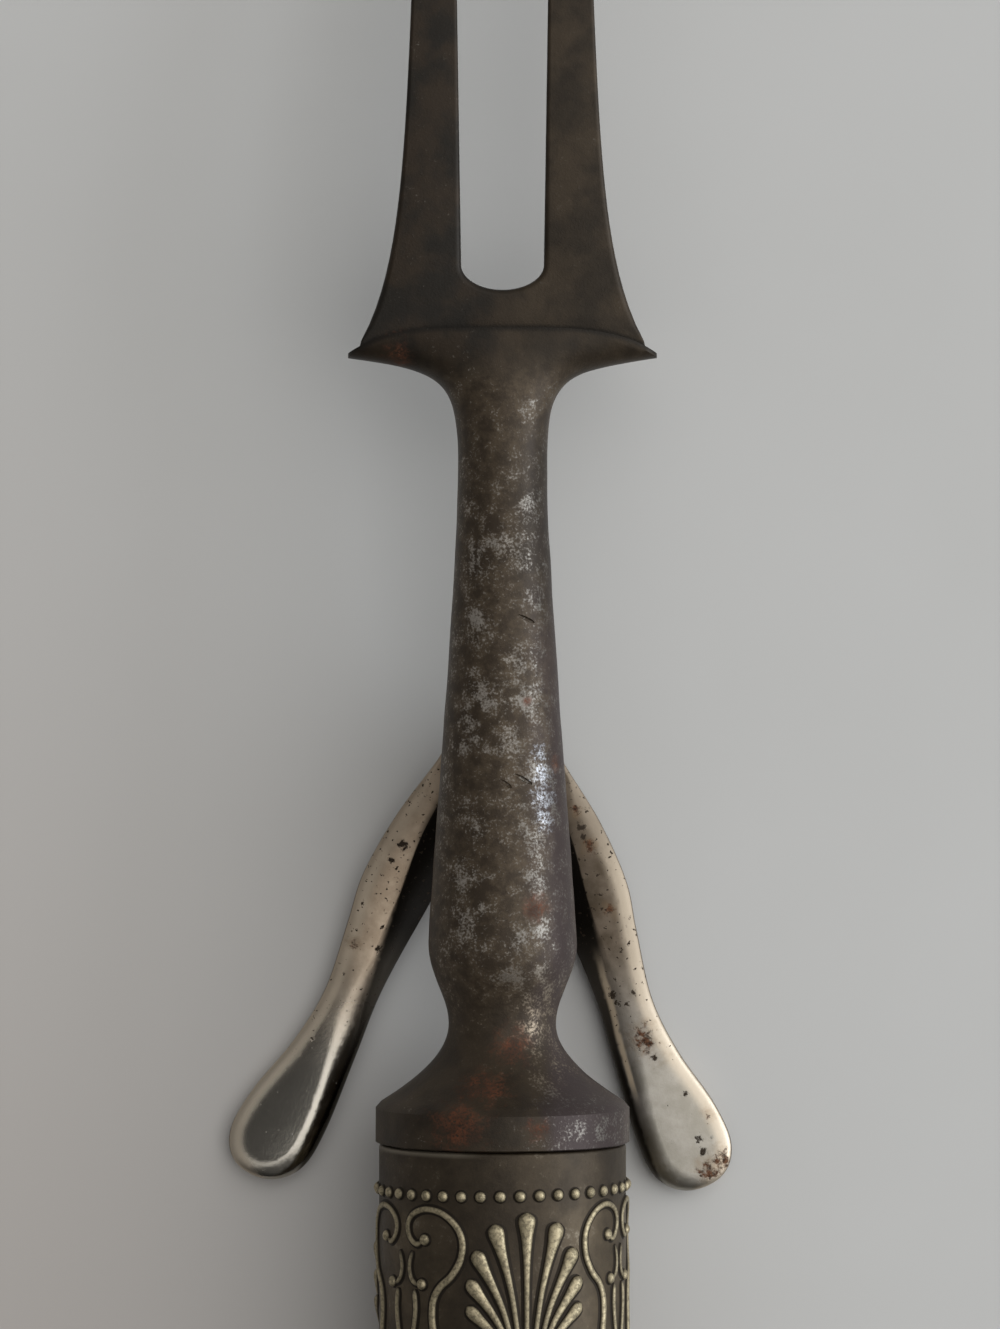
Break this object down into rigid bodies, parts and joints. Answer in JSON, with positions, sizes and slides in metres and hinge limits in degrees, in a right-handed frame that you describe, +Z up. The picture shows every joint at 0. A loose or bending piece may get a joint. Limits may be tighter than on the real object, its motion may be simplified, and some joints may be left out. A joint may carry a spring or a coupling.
{
  "type": "carving fork",
  "caption": "Antique carving fork: dark forged tines and baluster shank, folding wishbone guard on a sprung hinge, and a round stamped metal handle with palmette and scroll relief.",
  "frame": {"origin": "centre of the bottom of the bounding box, on the surface that the fork lies on", "axes": "+Y along the fork from the handle towards the tine tips, +Z up out of the fork's front face, +X to the right seen from the front with the tines up"},
  "size_m": [0.0448, 0.282, 0.024],
  "materials": {
    "dark_forged_steel": "satin",
    "worn_nickel_plate": "satin",
    "plain_steel": "satin",
    "aged_silver_plate": "satin",
    "pitch_cement": "matte"
  },
  "bodies": {
    "fork": {"fork_forging": "dark_forged_steel", "guard_pivot_pin": "plain_steel", "guard_spring": "plain_steel", "spring_rivet": "plain_steel", "handle_front_shell": "aged_silver_plate", "handle_back_shell": "aged_silver_plate", "handle_end_cap": "aged_silver_plate", "handle_filling": "pitch_cement"},
    "guard": {"knife_guard": "worn_nickel_plate"}
  },
  "joints": [
    {"name": "guard_hinge", "type": "hinge", "parent": "fork", "child": "guard", "pos_m": [0, 0.01, 0.0088], "axis": [1, 0, 0], "range_deg": [0, 95]}
  ]
}
